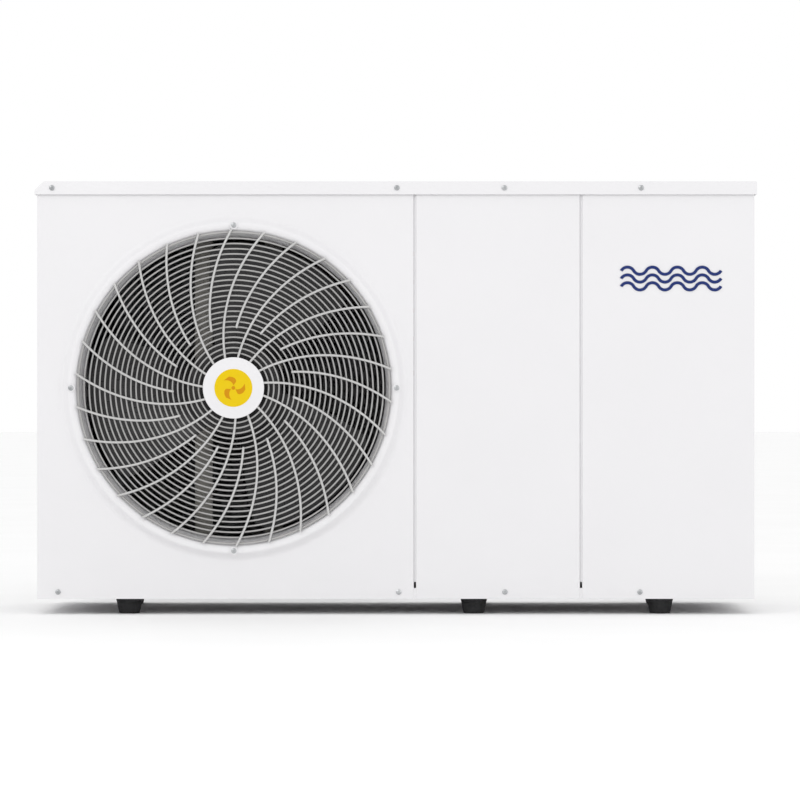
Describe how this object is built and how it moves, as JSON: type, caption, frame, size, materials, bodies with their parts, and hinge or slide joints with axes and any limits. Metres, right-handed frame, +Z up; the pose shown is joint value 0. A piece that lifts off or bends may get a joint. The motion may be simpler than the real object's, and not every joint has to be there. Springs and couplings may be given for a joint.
{
  "type": "pool heat pump unit",
  "caption": "Free-standing pool water heat pump: sheet-metal case with a round guarded fan at the front, water unions at the rear and rubber feet.",
  "frame": {"origin": "middle of the footprint box, on the ground under the rubber feet", "axes": "+X to the right seen from the front, +Y to the rear (the fan blows towards -Y), +Z up"},
  "size_m": [1.204, 0.5216, 0.722],
  "materials": {
    "panel_paint": "satin",
    "wire_coating": "satin",
    "ring_coating": "satin",
    "zinc_sheet": "satin",
    "steel_fastener": "satin",
    "black_rubber": "matte",
    "fan_plastic": "satin",
    "label_film": "satin",
    "badge_blue": "satin",
    "magnet_steel": "satin",
    "motor_paint": "satin",
    "winding": "satin",
    "fin_aluminium": "satin",
    "copper_tube": "satin",
    "compressor_paint": "satin",
    "valve_brass": "satin",
    "solenoid_red": "matte",
    "pvc_grey": "satin",
    "titanium": "satin",
    "nut_plastic": "satin",
    "black_plastic": "matte",
    "paddle_steel": "satin",
    "board_green": "satin"
  },
  "bodies": {
    "case": {"base_pan": "panel_paint", "front_fan_panel": "panel_paint", "front_middle_panel": "panel_paint", "front_right_panel": "panel_paint", "top_cover": "panel_paint", "left_side_grille": "panel_paint", "right_side_panel": "panel_paint", "rear_right_panel": "panel_paint", "rear_coil_guard": "wire_coating", "side_handle": "black_plastic", "terminal_cover": "panel_paint", "partition_plate": "zinc_sheet", "corner_posts": "zinc_sheet", "rubber_feet": "black_rubber", "foot_bolts": "steel_fastener", "guard_rings": "ring_coating", "guard_spokes": "wire_coating", "guard_plates": "panel_paint", "guard_label": "label_film", "guard_screws": "steel_fastener", "lid_screws": "steel_fastener", "panel_screws": "steel_fastener", "wave_badge": "badge_blue", "motor_housing": "motor_paint", "motor_stator": "winding", "motor_bearings": "steel_fastener", "motor_bracket": "zinc_sheet", "motor_screws": "steel_fastener", "coil_fins": "fin_aluminium", "coil_tubes": "copper_tube", "coil_end_plates": "zinc_sheet", "coil_header": "copper_tube", "compressor": "compressor_paint", "compressor_grommets": "black_rubber", "compressor_bolts": "steel_fastener", "accumulator": "compressor_paint", "reversing_valve": "valve_brass", "valve_solenoid": "solenoid_red", "expansion_valve": "valve_brass", "filter_drier": "copper_tube", "discharge_pipe": "copper_tube", "suction_pipe": "copper_tube", "exchanger_gas_pipe": "copper_tube", "liquid_pipe": "copper_tube", "exchanger_shell": "pvc_grey", "titanium_coil": "titanium", "exchanger_straps": "zinc_sheet", "water_pipes": "pvc_grey", "union_tails": "pvc_grey", "flow_switch": "black_plastic", "control_box": "zinc_sheet", "circuit_board": "board_green", "cable_glands": "black_plastic"},
    "rotor": {"fan_rotor": "fan_plastic", "fan_nut": "steel_fastener", "motor_shaft": "steel_fastener", "motor_rotor_core": "magnet_steel"},
    "inlet_nut": {"inlet_union_nut": "nut_plastic"},
    "outlet_nut": {"outlet_union_nut": "nut_plastic"},
    "paddle": {"flow_paddle": "paddle_steel"}
  },
  "joints": [
    {"name": "fan_spin", "type": "hinge", "parent": "case", "child": "rotor", "pos_m": [-0.2696, -0.23322, 0.3776], "axis": [0, 1, 0], "continuous": true},
    {"name": "inlet_nut_turn", "type": "hinge", "parent": "case", "child": "inlet_nut", "pos_m": [0.48, 0.19678, 0.132], "axis": [0, 1, 0], "continuous": true},
    {"name": "outlet_nut_turn", "type": "hinge", "parent": "case", "child": "outlet_nut", "pos_m": [0.48, 0.19678, 0.402], "axis": [0, 1, 0], "continuous": true},
    {"name": "paddle_swing", "type": "hinge", "parent": "case", "child": "paddle", "pos_m": [0.48, 0.156, 0.192], "axis": [-1, 0, 0], "range_deg": [0, 10], "stiffness_Nm_per_rad": 0.02}
  ]
}
